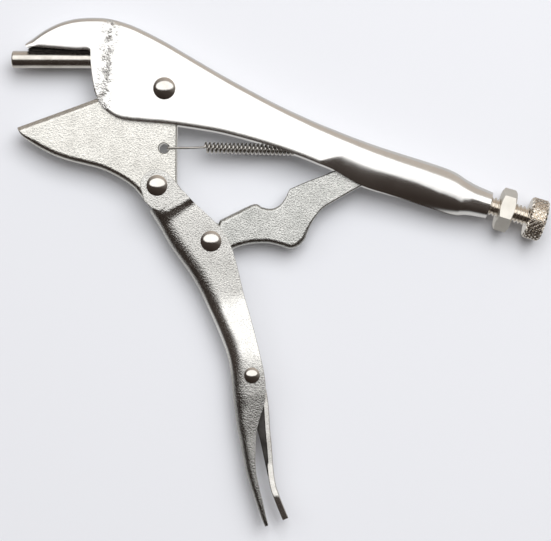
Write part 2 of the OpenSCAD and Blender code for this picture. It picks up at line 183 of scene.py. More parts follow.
def outline_mesh(name, outline, holes, half, edge, low=None):
    """A plate with rounded edges: its outline and holes are splines of a filled curve."""
    curve = bpy.data.curves.new(name + "_outline", "CURVE")
    curve.dimensions = "2D"
    curve.fill_mode = "BOTH"
    for loop in [outline] + holes:
        s = curve.splines.new("POLY")
        s.points.add(len(loop) - 1)
        for point, (x, y) in zip(s.points, loop):
            point.co = (x, y, 0, 1)
        s.use_cyclic_u = True
    curve.extrude = half - edge
    curve.bevel_depth = edge
    curve.bevel_resolution = 3
    curve.offset = -edge
    temp = bpy.data.objects.new(name + "_temp", curve)
    bpy.context.collection.objects.link(temp)
    bpy.context.view_layer.update()
    deps = bpy.context.evaluated_depsgraph_get()
    mesh = bpy.data.meshes.new_from_object(temp.evaluated_get(deps))
    bpy.data.objects.remove(temp)
    bm = bmesh.new()
    bm.from_mesh(mesh)
    bmesh.ops.remove_doubles(bm, verts=bm.verts, dist=0.002)
    bmesh.ops.recalc_face_normals(bm, faces=bm.faces)
    for v in bm.verts:
        v.co = place(v.co.x, v.co.y, v.co.z + (0 if low is None else low + half))
    bm.to_mesh(mesh)
    bm.free()
    return mesh


def turned_mesh(name, profile, steps, origin, axis, side=None):
    """A turned shape: profile is (along, radius) in millimetres from origin along axis."""
    axis = Vector(axis).normalized()
    u = (side or Vector((0, 0, 1)) if abs(axis.z) < 0.9 else Vector((1, 0, 0))).copy()
    u = (u - axis * u.dot(axis)).normalized()
    v = axis.cross(u)
    bm = bmesh.new()
    rings = []
    for along, r in profile:
        centre = origin + axis * along * MM
        if r <= 0:
            rings.append([bm.verts.new(centre)])
            continue
        rings.append([bm.verts.new(centre + (u * math.cos(t) + v * math.sin(t)) * r * MM)
                      for t in (2 * math.pi * i / steps for i in range(steps))])
    for a, b in zip(rings, rings[1:]):
        for i in range(steps):
            j = (i + 1) % steps
            corners = [a[i % len(a)], a[j % len(a)], b[j % len(b)], b[i % len(b)]]
            bm.faces.new(list(dict.fromkeys(corners)))
    bmesh.ops.recalc_face_normals(bm, faces=bm.faces)
    mesh = bpy.data.meshes.new(name)
    bm.to_mesh(mesh)
    bm.free()
    return mesh


def grid_mesh(name, rings, closed_ends=True):
    """A closed tube through rings of points, each ring a closed loop."""
    bm = bmesh.new()
    verts = [[bm.verts.new(p) for p in ring] for ring in rings]
    m = len(verts[0])
    for a, b in zip(verts, verts[1:]):
        for i in range(m):
            bm.faces.new((a[i], a[(i + 1) % m], b[(i + 1) % m], b[i]))
    if closed_ends:
        bm.faces.new(verts[0])
        bm.faces.new(verts[-1])
    bmesh.ops.recalc_face_normals(bm, faces=bm.faces)
    mesh = bpy.data.meshes.new(name)
    bm.to_mesh(mesh)
    bm.free()
    return mesh


# ---- pressed channel -------------------------------------------------------

CURL = 8
BEND = 12


def half_section(d, w, across, down, curl, turn, t):
    """Outer and inner side of half the sheet's section, as (across, down)."""
    rz = min(across, w - 0.1, 0.85 * d)
    ry = min(down, 0.85 * d)
    turn = math.radians(turn)
    reach = math.sin(min(turn, math.pi / 2))
    rb = min(curl / turn, (d - ry) * 0.9 / reach)
    start = d - rb * reach
    iz, iy = max(rz - t, 0.15), max(ry - t, 0.15)
    curls = [turn * j / CURL for j in range(CURL, 0, -1)]
    bends = [math.pi / 2 * j / BEND for j in range(BEND + 1)]
    outer = [(w - rb + rb * math.cos(a), start + rb * math.sin(a)) for a in curls]
    outer += [(w - rz + rz * math.cos(a), ry - ry * math.sin(a)) for a in bends]
    inner = [(w - rb + (rb - t) * math.cos(a), start + (rb - t) * math.sin(a)) for a in curls]
    inner += [(w - t - iz + iz * math.cos(a), t + iy - iy * math.sin(a)) for a in bends]
    return outer, inner


def channel_mesh(name, rows):
    rings = []
    for tx, ty, bx, by, w, across, down, curl, turn, sheet in rows:
        d = math.hypot(bx - tx, by - ty)
        dx, dy = (bx - tx) / d, (by - ty) / d
        outer, inner = half_section(d, w, across, down, curl, turn, min(sheet, 0.62 * d))
        loop = outer + [(-z, y) for z, y in reversed(outer)]
        back = inner + [(-z, y) for z, y in reversed(inner)]
        loop += list(reversed(back))
        rings.append([place(tx + dx * y, ty + dy * y, z) for z, y in loop])
    bm = bmesh.new()
    verts = [[bm.verts.new(p) for p in ring] for ring in rings]
    m = len(verts[0])
    for a, b in zip(verts, verts[1:]):
        for i in range(m):
            bm.faces.new((a[i], a[(i + 1) % m], b[(i + 1) % m], b[i]))
    for ring in (verts[0], verts[-1]):
        for j in range(m // 2 - 1):
            bm.faces.new((ring[j], ring[m - 1 - j], ring[m - 2 - j], ring[j + 1]))
    bmesh.ops.recalc_face_normals(bm, faces=bm.faces)
    mesh = bpy.data.meshes.new(name)
    bm.to_mesh(mesh)
    bm.free()
    return mesh


# ---- materials -------------------------------------------------------------

def noise_at(nodes, links, at, scale, detail, rough=None):
    """A noise texture fixed to the piece."""
    tex = nodes.new("ShaderNodeTexNoise")
    tex.inputs["Scale"].default_value = scale
    tex.inputs["Detail"].default_value = detail
    if rough is not None:
        tex.inputs["Roughness"].default_value = rough
    links.new(at.outputs["Object"], tex.inputs["Vector"])
    return tex


def nickel(name, colour, dark, rough, grain, depth, wave=0.0, scars=(), zones=None,
           speck=0):
    """Nickel plate on steel: colour varies softly, a fine grain breaks up the gloss.

    Scars are (point, lean, width, depth) strips of deep pits. Zones are
    (y, grain strength, painted light and shade) stops along the tool; the last
    multiplies the colour, lighter or darker along Y, as painted light and shade.
    Speck is how dark the pits between the grains are."""
    mat = bpy.data.materials.new(name)
    mat.use_nodes = True
    nodes, links = mat.node_tree.nodes, mat.node_tree.links
    shader = nodes["Principled BSDF"]
    shader.inputs["Metallic"].default_value = 1.0
    place_at = nodes.new("ShaderNodeTexCoord")

    clouds = noise_at(nodes, links, place_at, 160, 5, 0.6)

    fine = noise_at(nodes, links, place_at, grain, 3, 0.55)

    tint = nodes.new("ShaderNodeMix")
    tint.data_type = "RGBA"
    tint.inputs["A"].default_value = (*dark, 1)
    tint.inputs["B"].default_value = (*colour, 1)
    spread = nodes.new("ShaderNodeMapRange")
    spread.inputs["From Min"].default_value = 0.3
    spread.inputs["From Max"].default_value = 0.62
    links.new(clouds.outputs["Fac"], spread.inputs["Value"])
    links.new(spread.outputs["Result"], tint.inputs["Factor"])
    base = tint.outputs["Result"]
    if speck:
        dots = nodes.new("ShaderNodeMapRange")
        dots.inputs["From Min"].default_value = 0.36
        dots.inputs["From Max"].default_value = 0.56
        dots.inputs["To Min"].default_value = 1 - speck
        links.new(fine.outputs["Fac"], dots.inputs["Value"])
        spots = nodes.new("ShaderNodeMix")
        spots.data_type = "RGBA"
        spots.blend_type = "MULTIPLY"
        spots.inputs["Factor"].default_value = 1
        links.new(base, spots.inputs["A"])
        links.new(dots.outputs["Result"], spots.inputs["B"])
        base = spots.outputs["Result"]

    gloss = nodes.new("ShaderNodeMapRange")
    gloss.inputs["From Min"].default_value = 0.3
    gloss.inputs["From Max"].default_value = 0.7
    gloss.inputs["To Min"].default_value = rough * 0.82
    gloss.inputs["To Max"].default_value = rough * 1.2
    links.new(fine.outputs["Fac"], gloss.inputs["Value"])
    links.new(gloss.outputs["Result"], shader.inputs["Roughness"])

    bump = nodes.new("ShaderNodeBump")
    bump.inputs["Strength"].default_value = 1.0
    bump.inputs["Distance"].default_value = depth * MM
    links.new(fine.outputs["Fac"], bump.inputs["Height"])
    links.new(bump.outputs["Normal"], shader.inputs["Normal"])
    if zones:
        strength, shade = along_tool(nodes, links, place_at, zones)
        links.new(strength, bump.inputs["Strength"])
        # Painted light and shade: the colour is multiplied by a factor that changes along Y.
        painted_light_mix = nodes.new("ShaderNodeMix")
        painted_light_mix.data_type = "RGBA"
        painted_light_mix.blend_type = "MULTIPLY"
        painted_light_mix.inputs["Factor"].default_value = 1
        painted_light_mix.clamp_result = False
        links.new(base, painted_light_mix.inputs["A"])
        links.new(shade, painted_light_mix.inputs["B"])
        base = painted_light_mix.outputs["Result"]
    links.new(base, shader.inputs["Base Color"])
    if wave:
        slow = nodes.new("ShaderNodeBump")
        slow.inputs["Distance"].default_value = wave * MM
        swell = nodes.new("ShaderNodeTexNoise")
        swell.inputs["Scale"].default_value = 240
        swell.inputs["Detail"].default_value = 2
        links.new(place_at.outputs["Object"], swell.inputs["Vector"])
        links.new(swell.outputs["Fac"], slow.inputs["Height"])
        links.new(slow.outputs["Normal"], bump.inputs["Normal"])
    for scar in scars:
        pitted(nodes, links, place_at, bump, *scar)
    return mat


def along_tool(nodes, links, place_at, zones):
    """Grain strength and a painted light-and-shade factor that change along Y, between the given
    stops.
    """
    split = nodes.new("ShaderNodeSeparateXYZ")
    links.new(place_at.outputs["Object"], split.inputs["Vector"])
    low, high = zones[0][0], zones[-1][0]
    lift = nodes.new("ShaderNodeMapRange")
    lift.inputs["From Min"].default_value = place(0, low).y
    lift.inputs["From Max"].default_value = place(0, high).y
    links.new(split.outputs["Y"], lift.inputs["Value"])
    outputs = []
    for column in (1, 2):
        ramp = nodes.new("ShaderNodeValToRGB")
        elements = ramp.color_ramp.elements
        while len(elements) < len(zones):
            elements.new(0.5)
        for stop, zone in zip(elements, zones):
            stop.position = (zone[0] - low) / (high - low)
            stop.color = (zone[column],) * 3 + (1,)
        links.new(lift.outputs["Result"], ramp.inputs["Fac"])
        outputs.append(ramp.outputs["Color"])
    return outputs


def pitted(nodes, links, place_at, bump, through, lean, width, depth):
    """Deep pits in a strip through a point, where the press drew the plate.

    Lean is the strip's turn from Y, in degrees."""
    turn = math.radians(lean)
    away = nodes.new("ShaderNodeVectorMath")
    away.operation = "DOT_PRODUCT"
    away.inputs[1].default_value = (math.cos(turn), math.sin(turn), 0)
    links.new(place_at.outputs["Object"], away.inputs[0])
    blotch = noise_at(nodes, links, place_at, 420, 4)
    off = nodes.new("ShaderNodeMath")
    off.operation = "SUBTRACT"
    off.inputs[1].default_value = through.x * math.cos(turn) + through.y * math.sin(turn)
    links.new(away.outputs["Value"], off.inputs[0])
    size = nodes.new("ShaderNodeMath")
    size.operation = "ABSOLUTE"
    links.new(off.outputs["Value"], size.inputs[0])
    inside = nodes.new("ShaderNodeMapRange")
    inside.inputs["From Min"].default_value = width * MM / 2
    inside.inputs["From Max"].default_value = 0
    links.new(size.outputs["Value"], inside.inputs["Value"])
    patch = nodes.new("ShaderNodeMapRange")
    patch.inputs["From Min"].default_value = 0.38
    patch.inputs["From Max"].default_value = 0.6
    links.new(blotch.outputs["Fac"], patch.inputs["Value"])
    mask = nodes.new("ShaderNodeMath")
    mask.operation = "MULTIPLY"
    links.new(inside.outputs["Result"], mask.inputs[0])
    links.new(patch.outputs["Result"], mask.inputs[1])
    pits = noise_at(nodes, links, place_at, 1700, 2)
    dent = nodes.new("ShaderNodeBump")
    dent.inputs["Distance"].default_value = depth * MM
    links.new(mask.outputs["Value"], dent.inputs["Strength"])
    links.new(pits.outputs["Fac"], dent.inputs["Height"])
    links.new(bump.inputs["Normal"].links[0].from_socket, dent.inputs["Normal"])
    links.new(dent.outputs["Normal"], bump.inputs["Normal"])


def weld_with_painted_shade():
    mat = bpy.data.materials.new("weld_with_painted_shade")
    mat.use_nodes = True
    nodes, links = mat.node_tree.nodes, mat.node_tree.links
    shader = nodes["Principled BSDF"]
    shader.inputs["Metallic"].default_value = 0.6
    shader.inputs["Roughness"].default_value = 0.75
    at = nodes.new("ShaderNodeTexCoord")
    lumps = noise_at(nodes, links, at, 900, 4)
    # Near-black: the weld's own dark scale, together with painted shade of the groove between
    # nose and bar.
    tint = nodes.new("ShaderNodeValToRGB")
    tint.color_ramp.elements[0].color = (0.01, 0.009, 0.008, 1)
    tint.color_ramp.elements[1].color = (0.09, 0.08, 0.07, 1)
    links.new(lumps.outputs["Fac"], tint.inputs["Fac"])
    links.new(tint.outputs["Color"], shader.inputs["Base Color"])
    bump = nodes.new("ShaderNodeBump")
    bump.inputs["Distance"].default_value = 0.3 * MM
    links.new(lumps.outputs["Fac"], bump.inputs["Height"])
    links.new(bump.outputs["Normal"], shader.inputs["Normal"])
    return mat


HANDLE_NICKEL = nickel("handle_nickel", (0.93, 0.925, 0.91), (0.87, 0.865, 0.85), 0.19, 2600,
                       0.009, 0.02, ((place(-19.6, 8), -7, 8, 0.8),))
# Stops of (y, grain strength, painted light and shade): the grip is painted lighter from y -89 to
# -74 and darker towards the tail.
GRIP_ZONES = ((-150, 1.0, 0.7), (-112, 1.0, 0.66), (-99, 0.95, 0.74), (-94, 0.5, 1.0),
              (-89, 0.12, 1.25), (-74, 0.12, 1.25), (-68, 0.7, 0.96), (-58, 0.85, 0.93),
              (-30, 0.85, 0.96))
GRIP_NICKEL = nickel("grip_nickel", (0.87, 0.865, 0.84), (0.72, 0.715, 0.69), 0.20, 2100,
                     0.14, 0.03, zones=GRIP_ZONES, speck=0.3)
JAW_NICKEL = nickel("jaw_nickel", (0.92, 0.91, 0.865), (0.77, 0.76, 0.72), 0.20, 2100,
                    0.13, 0.03, speck=0.22)
LINK_NICKEL = nickel("link_nickel", (0.78, 0.785, 0.765), (0.61, 0.62, 0.60), 0.20, 2100,
                     0.15, 0.03, speck=0.3)
ROD_NICKEL = nickel("rod_nickel", (0.80, 0.77, 0.72), (0.62, 0.59, 0.54), 0.22, 2600, 0.012)
RIVET_NICKEL = nickel("rivet_nickel", (0.86, 0.83, 0.79), (0.74, 0.71, 0.67), 0.10, 2000,
                      0.010, 0.05)
LEVER_NICKEL = nickel("lever_nickel", (0.84, 0.83, 0.80), (0.62, 0.60, 0.57), 0.22, 2600,
                      0.015, 0.02)
# Near-black nickel: painted shade inside the release lever's channel.
PAINTED_SHADE_NICKEL = nickel("painted_shade_nickel", (0.09, 0.085, 0.08), (0.03, 0.028, 0.026), 0.4, 2300, 0.03)
WARM_NICKEL = nickel("warm_nickel", (0.92, 0.87, 0.80), (0.82, 0.76, 0.68), 0.13, 2600,
                     0.006, 0.01)
NUT_NICKEL = nickel("nut_nickel", (0.88, 0.85, 0.79), (0.79, 0.76, 0.70), 0.38, 2100, 0.02, 0.02)
SPRING_STEEL = nickel("spring_steel", (0.72, 0.70, 0.67), (0.52, 0.50, 0.47), 0.2, 6000, 0.004)
# Weld finish, partly painted shade of the groove under the nose.
WELD_WITH_PAINTED_SHADE = weld_with_painted_shade()

# ---- handles ---------------------------------------------------------------

FLAT = 0.5
HEM, HEM_TURN = 1.7, 15
NOSE_SHEET = SHEET - 0.12
FLANK = 5.6


def neck_row(s, r, turn, sheet):
    cx, cy = KNOB_AT[0] - s * out_of_neck.x, KNOB_AT[1] - s * out_of_neck.y
    nx, ny = across_screw.x * r, across_screw.y * r
    return (cx + nx, cy + ny, cx - nx, cy - ny, r, r, r, r * math.radians(turn), turn, sheet)


UPPER_ROWS = [
    (-47, 15.1, -46.6, 13.9, NOSE_W, 2.4, 2.4, HEM, HEM_TURN, NOSE_SHEET),
    (-44.9, 16.8, -44.4, 14.1, NOSE_W, 2.4, 2.4, HEM, HEM_TURN, NOSE_SHEET),
    (-40.5, 19.9, -40.1, 13.8, NOSE_W, 2.4, 2.4, HEM, HEM_TURN, NOSE_SHEET),
    (-35.4, 22.4, -35.2, 13.4, NOSE_W, 2.4, 2.4, HEM, HEM_TURN, NOSE_SHEET),
    (-30.5, 23.7, -30.2, 13, NOSE_W, 2.4, 2.4, HEM, HEM_TURN, NOSE_SHEET),
    (-26.5, 24.1, -25.2, 12.6, NOSE_W, 2.4, 2.4, HEM, HEM_TURN, NOSE_SHEET),
    (-24.8, 24.15, -24.8, 7.5, NOSE_W, 2.4, 2.4, HEM, HEM_TURN, NOSE_SHEET),
    (-23.2, 24.15, -24.1, 1.8, NOSE_W, 2.4, 2.4, HEM, HEM_TURN, NOSE_SHEET),
    (-21.6, 24.1, -23.1, -2.3, NOSE_W, 2.4, 2.4, HEM, HEM_TURN, NOSE_SHEET),
    (-19.8, 23.9, -21.1, -6.1, NOSE_W, 2.4, 2.4, HEM, HEM_TURN, NOSE_SHEET),
    (-17.6, 23.5, -18, -8.6, MAIN_W, 2.6, 2.6, HEM, HEM_TURN, SHEET),
    (-15.2, 22.9, -15.3, -10, MAIN_W, 2.6, 2.6, HEM, HEM_TURN, SHEET),
    (-11, 21.5, -12.5, -10.6, MAIN_W, 2.6, 2.6, HEM, HEM_TURN, SHEET),
    (-6, 19.2, -9.5, -10.9, MAIN_W, 2.6, 2.6, HEM, HEM_TURN, SHEET),
    (0.5, 15.8, -5, -11.3, MAIN_W, 2.6, 2.6, HEM, HEM_TURN, SHEET),
    (8, 11.4, 1, -11.8, MAIN_W, 2.6, 2.6, HEM, HEM_TURN, SHEET),
    (18.8, 5.1, 11.5, -13.3, MAIN_W, 2.7, 2.7, HEM, HEM_TURN, SHEET),
    (27.5, 0.3, 20.5, -15, MAIN_W, 2.8, 2.8, HEM, HEM_TURN, SHEET),
    (39.1, -5.7, 33, -18.4, MAIN_W, 3, 3, HEM, HEM_TURN, SHEET),
    (50.5, -10.9, 45.2, -22.5, MAIN_W, 3.4, 3.7, HEM, HEM_TURN, SHEET),
    (57.4, -13.7, 52.2, -25.3, 0.4 * MAIN_W + 0.6 * REAR_W, 3.8, 4.1, HEM, HEM_TURN, SHEET),
    (62.9, -15.9, 57.8, -27.7, REAR_W, 4, 4.2, 6.8, 22, SHEET),
    (71.5, -19, 66.7, -32.7, REAR_W, 4.5, 5, 8.3, 27, SHEET),
    (79.9, -21.7, 75.8, -35.6, REAR_W, 4.9, 5.6, 8.5, 35, SHEET),
    (88, -24.2, 84, -38.1, REAR_W, 5.2, 6, 8.6, 43, SHEET),
    (95.2, -26.6, 91.2, -40.5, REAR_W, 5.3, 6.9, 8.8, 52, SHEET),
    (99.2, -28.4, 96, -42, REAR_W, 5.3, 6.7, 8.2, 62, SHEET),
    (102.2, -30.4, 99.2, -42.6, REAR_W, 5.3, 6, 7.6, 78, SHEET),
    neck_row(23.4, NECK_R + 0.9, 140, SHEET),
    neck_row(20.1, NECK_R + 0.4, 160, 1.6),
    neck_row(16.5, NECK_R, 168, 1.3)]

LOWER_ROWS = [
    (-5.2, -41.2, 6.1, -34.2, LUG_W, 4, FLANK, 3, FLAT, SHEET),
    (-3.6, -43.8, 8.8, -37.2, LUG_W, 4, FLANK, 3, FLAT, SHEET),
    (-1.5, -47.2, 10.3, -38.7, LINK_W, 4, FLANK, 3, FLAT, SHEET),
    (1.6, -52.7, 15.2, -43.2, LINK_W, 4, FLANK, 3, FLAT, SHEET),
    (5, -57.6, 19.3, -47.6, LINK_W, 4, FLANK, 3, FLAT, SHEET),
    (8.4, -62.4, 22.4, -53.1, LINK_W, 4, FLANK, 3, FLAT, SHEET),
    (11.8, -68.2, 24.6, -60.6, LINK_W, 4, FLANK, 3, FLAT, SHEET),
    (15.2, -75.5, 26.7, -69.4, LINK_W, 4, FLANK, 3, FLAT, SHEET),
    (18.6, -83.3, 29.4, -78.9, LINK_W + 0.7 * SWELL, 4, FLANK, 3, FLAT, SHEET),
    (21.3, -90.8, 31.8, -88.2, GRIP_W, 4, FLANK, 3, FLAT, SHEET),
    (22.5, -98, 33.7, -96.9, GRIP_W, 4, FLANK, 3, FLAT, SHEET),
    (23, -103.7, 34.2, -102.6, GRIP_W, 4, FLANK, 3, FLAT, SHEET),
    (23.6, -108.4, 33.6, -106.7, LINK_W + 0.7 * SWELL, 4, FLANK, 3, FLAT, SHEET),
    (24.3, -114, 32, -112, LINK_W + 0.3 * SWELL, 3.8, 3.8, 3, FLAT, SHEET),
    (25.3, -119, 31, -117, LINK_W, 3.6, 3.6, 3, FLAT, SHEET),
    (26.5, -125.2, 30.7, -123.6, LINK_W, 3.2, 3.2, 3, FLAT, SHEET),
    (27.8, -130.9, 30.9, -129.6, LINK_W - 0.2, 2.6, 2.6, 3, FLAT, SHEET),
    (29.5, -136.2, 31.9, -135.2, LINK_W - 0.4, 2.2, 2.2, 3, FLAT, SHEET),
    (31.3, -141.4, 33.2, -140.5, LINK_W - 0.7, 1.8, 1.8, 3, FLAT, SHEET),
    (32.8, -145.6, 34.2, -145, LINK_W - 1.2, 1.4, 1.4, 3, FLAT, SHEET),
    (33.9, -148.3, 35, -147.8, LINK_W - 1.9, 1, 1, 3, FLAT, SHEET)]


def make_upper_handle():
    mesh = channel_mesh("upper_handle_sheet", smooth_rows(UPPER_ROWS, 6))
    obj = finish_mesh("upper_handle_sheet", mesh, "upper_body", "upper_handle", HANDLE_NICKEL)
    round_edges(obj, 0.45)
    tab = [(48.2, -19.2), (49, -21), (51.8, -21), (53, -19.2), (53, -13), (48, -11.8)]
    hole = arc((50.5, -19.2), 0.85, 0, 360, 16)[:-1]
    mesh = outline_mesh("spring_tab", tab, [hole], 0.6, 0.15)
    finish_mesh("spring_tab", mesh, "upper_body", None, HANDLE_NICKEL)


def make_lower_handle():
    mesh = channel_mesh("lower_handle_sheet", smooth_rows(LOWER_ROWS, 6))
    obj = finish_mesh("lower_handle_sheet", mesh, "lower_handle", "lower_handle", GRIP_NICKEL)
    round_edges(obj, 0.25)
    lug = arc(JAW_PIN, 5.6, 40, 205, 28) + [
        (-6.9, -38), (-4.2, -40.4), (-1.4, -41.4), (6.5, -36.2), (5.9, -34.4), (3.7, -31.4)]
    for name, low in (("lug_near", LUG_W - SHEET), ("lug_far", -LUG_W)):
        mesh = outline_mesh(name, lug, [], SHEET / 2 + 0.01, 0.25, low)
        lug_obj = finish_mesh(name, mesh, "lower_handle", None, GRIP_NICKEL)
        even_normals(lug_obj)


# ---- plates ----------------------------------------------------------------

FACE_TIP = (-50.0, -12.95)
FACE_ANGLE = 20
CHAMFER_RUN, CHAMFER_DEPTH = 1.5, 1.1
BOSS = 8.5
ROUND_END = 6.5


def inset(loop, d):
    """A closed counter-clockwise outline moved inwards, each point by its own d, with mitres."""
    moved, count = [], len(loop)
    for i, p in enumerate(loop):
        a, b = loop[i - 1], loop[(i + 1) % count]
        u = Vector((p[0] - a[0], p[1] - a[1])).normalized()
        v = Vector((b[0] - p[0], b[1] - p[1])).normalized()
        n = Vector((-u.y - v.y, u.x + v.x)).normalized()
        miter = min(1 / max(n.dot(Vector((-v.y, v.x))), 0.1), 2.2)
        moved.append((p[0] + n.x * d[i] * miter, p[1] + n.y * d[i] * miter))
    return moved


def rounded_plate(name, outline, holes, half, width, steps=6, rim=0.25):
    """A plate whose rim is rounded, then bored. width gives the rounding at each point."""
    if sum(a[0] * b[1] - b[0] * a[1] for a, b in zip(outline, outline[1:] + outline[:1])) < 0:
        outline = outline[::-1]
    edge = [width(*p) for p in outline]
    turns = [math.pi / 2 * i / steps for i in range(steps + 1)]
    rings = []
    for side, order in ((1, turns), (-1, turns[::-1])):
        for t in order:
            loop = inset(outline, [e * (1 - math.sin(t)) for e in edge])
            rings.append([place(x, y, side * (half - e * (1 - math.cos(t))))
                          for (x, y), e in zip(loop, edge)])
    mesh = grid_mesh(name, rings)
    obj = bpy.data.objects.new(name + "_blank", mesh)
    bpy.context.collection.objects.link(obj)
    cutters = []
    for (x, y), r in holes:
        profile = [(-half - 1, 0), (-half - 1, r + 1 + rim), (-half + rim, r), (half - rim, r),
                   (half + 1, r + 1 + rim), (half + 1, 0)]
        tool = bpy.data.objects.new(name + "_bore", turned_mesh(
            name + "_bore", profile, 48, place(x, y), (0, 0, 1)))
        bpy.context.collection.objects.link(tool)
        cut = obj.modifiers.new("bore", "BOOLEAN")
        cut.operation = "DIFFERENCE"
        cut.solver = "EXACT"
        cut.use_self = True
        cut.object = tool
        cutters.append(tool)
    bpy.context.view_layer.update()
    bored = bpy.data.meshes.new_from_object(
        obj.evaluated_get(bpy.context.evaluated_depsgraph_get()))
    for spare in cutters + [obj]:
        bpy.data.objects.remove(spare)
    return bored


def chamfer(mesh, point, normal):
    """Cuts away what lies beyond a plane and closes the cut."""
    bm = bmesh.new()
    bm.from_mesh(mesh)
    cut = bmesh.ops.bisect_plane(
        bm, geom=bm.verts[:] + bm.edges[:] + bm.faces[:], plane_co=point, plane_no=normal,
        clear_outer=True)
    edges = [e for e in cut["geom_cut"] if isinstance(e, bmesh.types.BMEdge)]
    filled = bmesh.ops.holes_fill(bm, edges=edges)["faces"]
    ridge = [e for face in filled for e in face.edges
             if any(abs(f.normal.z) > 0.99 for f in e.link_faces)]
    bmesh.ops.bevel(bm, geom=ridge, offset=0.55 * MM, segments=3, profile=0.5, affect="EDGES")
    bm.to_mesh(mesh)
    bm.free()


def make_lower_jaw():
    slope = math.radians(FACE_ANGLE)
    rise = FACE_TIP[1] * math.cos(slope) - FACE_TIP[0] * math.sin(slope)
    meets = 90 + FACE_ANGLE + math.degrees(math.acos(rise / BOSS))
    front = smooth([FACE_TIP, (-49.3, -14.6), (-47.6, -16.5), (-43.2, -19.5), (-38, -22.2),
                    (-33, -24), (-27, -25.5), (-22, -26.8), (-17.5, -28.8), (-13, -31.4),
                    (-10.4, -33.4)], 3)
    outline = front + arc(JAW_PIN, ROUND_END, 215, 360, 20)
    outline += [(JAW_PIN[0] + ROUND_END, -22), (JAW_PIN[0] + ROUND_END + 0.2, -9)]
    outline += arc((0, 0), BOSS, -50, meets, 20)
    holes = [((0, 0), 2.55), (JAW_PIN, 2.35), (SPRING_HOLE, 1.75)]

    def width(x, y):
        """Wide along the lower front, narrow at the tip, the face, the back and the boss."""
        tip = math.hypot(x - FACE_TIP[0], y - FACE_TIP[1])
        if x > JAW_PIN[0] + ROUND_END - 1 or math.hypot(x, y) < BOSS + 0.2:
            return 0.7
        return 0.25 + 1.65 * min(1, tip / 8)

    mesh = rounded_plate("lower_jaw_plate", outline, holes, JAW_HALF, width)
    up = Vector((-math.sin(slope), math.cos(slope), 0))
    for z in (1, -1):
        tilt = up * CHAMFER_DEPTH + Vector((0, 0, z)) * CHAMFER_RUN
        chamfer(mesh, place(*FACE_TIP, z * (JAW_HALF - CHAMFER_DEPTH)), tilt)
    obj = finish_mesh("lower_jaw_plate", mesh, "lower_jaw", "lower_jaw", JAW_NICKEL, 30)
    even_normals(obj)


def make_toggle_link():
    upper = smooth([(18.6, -44.3), (24, -41.6), (30.3, -38.8), (33, -39.9), (36, -40.4),
                    (38.8, -39.3), (40.8, -36.8), (42.2, -34), (43.4, -33.3), (48, -31.3),
                    (54.3, -28.9), (60.5, -26.3), (67.2, -24.8)], 4)
    lower = smooth([(69.6, -31.2), (64.5, -33.9), (57.7, -37.8), (53.6, -40.3), (50.6, -44),
                    (48.8, -47.4), (47.4, -50.9), (45.2, -53.2), (42.4, -54), (39, -53),
                    (35.6, -52.2), (32, -52.1), (28, -52.5), (23.4, -53.9), (20.6, -55.8)], 4)
    edge = upper + arc((68.6, -28), 3.3, 84, -68, 12) + lower
    outline = arc(LINK_PIN, 6.5, 68, 318, 36) + list(reversed(edge))

    def width(x, y):
        """Wider along the lower side than along the notched upper side."""
        return 0.6 + 1.1 * min(1, max(0, (-0.6 * x - y - 12.5) / 12))

    mesh = rounded_plate("toggle_link_plate", outline, [(LINK_PIN, 2.35)], LINK_HALF, width)
    obj = finish_mesh("toggle_link_plate", mesh, "toggle_link", "toggle_link", LINK_NICKEL, 30)
    even_normals(obj)


CHEEK = 1.1


def make_release_lever():
    line = smooth([(33.4, -102), (34.2, -108), (34.7, -115.6), (35.3, -122), (35.8, -129),
                   (36.6, -134.3), (37.6, -137.5), (39, -141.2), (40.9, -145.8)], 6)
    outer = beside(line, 1)
    inner = list(reversed(beside(line, -1)))
    outline = (outer[1:] + inner[:-1] + [(31.8, -102.6), (29.2, -100)]
               + arc(LEVER_PIN, 3.2, 265, 160, 10)
               + [(25.7, -92), (25.5, -88)] + arc((27.2, -84.2), 1.5, 180, 0, 10)
               + [(29.6, -90), (31.4, -94)] + arc(LEVER_PIN, 3.2, 30, 0, 4)
               + [(33.2, -98.6)])
    hole = arc(LEVER_PIN, 1.55, 0, 360, 24)[:-1]
    mesh = outline_mesh("release_lever_strip", outline, [hole], LINK_HALF, 0.3)
    for v in mesh.vertices:
        y = (v.co.y - pivot.y) / MM
        grown = 1 + 0.35 * min(1, max(0, (-127 - y) / 11)) - 0.75 * min(1, max(0, (-138 - y) / 8))
        v.co.z = pivot.z + (v.co.z - pivot.z) * grown
    obj = finish_mesh("release_lever_strip", mesh, "release_lever", "release_lever", LEVER_NICKEL)
    even_normals(obj)
    # The cheeks carry painted shade: their near-black finish stands for the shadow inside the
    # lever's channel.
    cheek = [(29, -99), (29.6, -107), (31, -114), (32.4, -119.5), (33.7, -125.5),
             (34.9, -131), (35.6, -130.5), (35.0, -122), (34.4, -115.6), (33.9, -108),
             (33, -101.5)]
    for name, low in (("lever_cheek_near", LINK_HALF - CHEEK), ("lever_cheek_far", -LINK_HALF)):
        mesh = outline_mesh(name, cheek, [], CHEEK / 2, 0.2, low)
        finish_mesh(name, mesh, "release_lever", None, PAINTED_SHADE_NICKEL)


# ---- rivets, bar, screw, knob ----------------------------------------------

